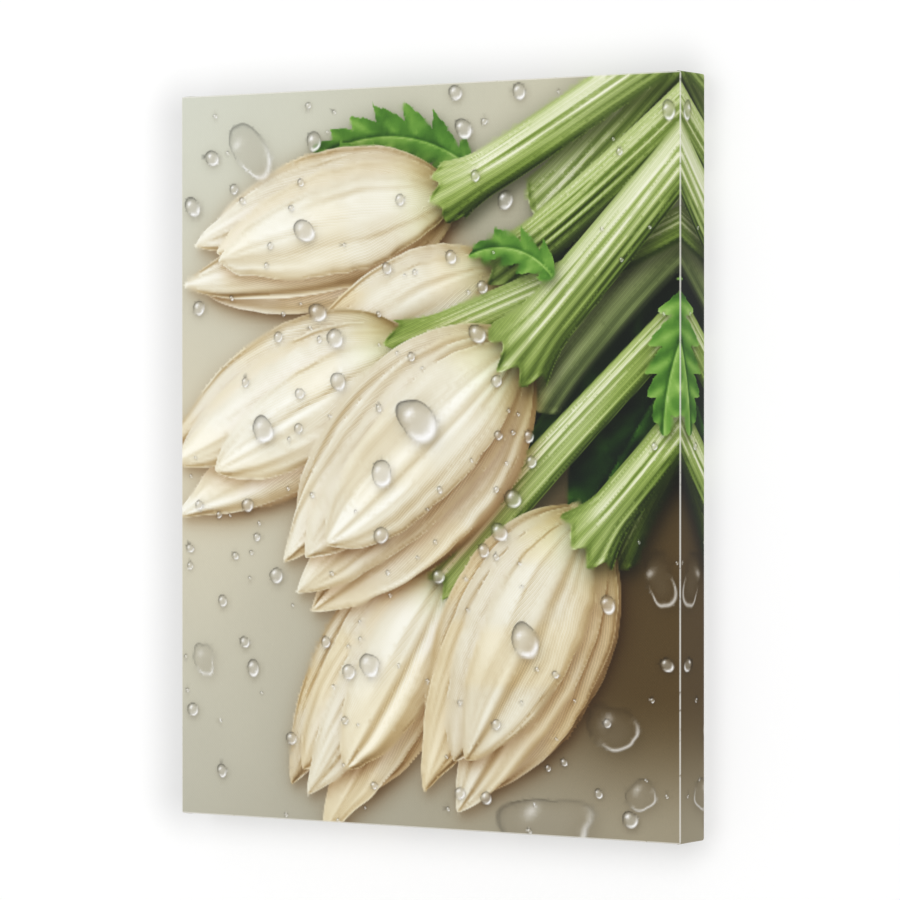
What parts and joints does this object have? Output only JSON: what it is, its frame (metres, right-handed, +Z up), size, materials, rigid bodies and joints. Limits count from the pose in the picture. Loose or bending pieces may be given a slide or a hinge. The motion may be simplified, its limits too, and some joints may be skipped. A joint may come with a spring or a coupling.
{
  "type": "stretched canvas print",
  "caption": "Stretched canvas print on a mitred pine frame, with wrapped edges, a stapled back, corner keys and a sawtooth hanger for a wall nail.",
  "frame": {"origin": "the point of the wall nail: on the wall plane, in the middle notch of the sawtooth hanger near the top of the back", "axes": "+Z up as hung, +Y out of the back towards the wall, -Y out of the printed front, +X to the right as seen from the front"},
  "size_m": [0.4, 0.0345, 0.5],
  "materials": {
    "printed_canvas": "matt inkjet print on primed cotton canvas, bare weave behind",
    "pine": "planed softwood, unfinished",
    "beech": "sawn hardwood, unfinished",
    "steel_wire": "galvanised wire",
    "zinc_plated_steel": "stamped sheet, bright zinc",
    "brass": "brass-plated nail",
    "rubber": "matt moulded rubber"
  },
  "bodies": {
    "root": {"canvas": "printed_canvas", "corner_key_bottom_1": "beech", "corner_key_bottom_2": "beech", "corner_key_left_1": "beech", "corner_key_left_2": "beech", "corner_key_right_1": "beech", "corner_key_right_2": "beech", "corner_key_top_1": "beech", "corner_key_top_2": "beech", "hanger_nail_left": "brass", "hanger_nail_right": "brass", "hanger_plate": "zinc_plated_steel", "staple_bottom_1": "steel_wire", "staple_bottom_2": "steel_wire", "staple_bottom_3": "steel_wire", "staple_bottom_4": "steel_wire", "staple_bottom_5": "steel_wire", "staple_bottom_6": "steel_wire", "staple_corner_bottom_left": "steel_wire", "staple_corner_bottom_right": "steel_wire", "staple_corner_top_left": "steel_wire", "staple_corner_top_right": "steel_wire", "staple_left_1": "steel_wire", "staple_left_2": "steel_wire", "staple_left_3": "steel_wire", "staple_left_4": "steel_wire", "staple_left_5": "steel_wire", "staple_left_6": "steel_wire", "staple_right_1": "steel_wire", "staple_right_2": "steel_wire", "staple_right_3": "steel_wire", "staple_right_4": "steel_wire", "staple_right_5": "steel_wire", "staple_right_6": "steel_wire", "staple_top_1": "steel_wire", "staple_top_2": "steel_wire", "staple_top_3": "steel_wire", "staple_top_4": "steel_wire", "staple_top_5": "steel_wire", "staple_top_6": "steel_wire", "stretcher_bar_bottom": "pine", "stretcher_bar_left": "pine", "stretcher_bar_right": "pine", "stretcher_bar_top": "pine", "wall_bumper_left": "rubber", "wall_bumper_right": "rubber"}
  },
  "joints": []
}
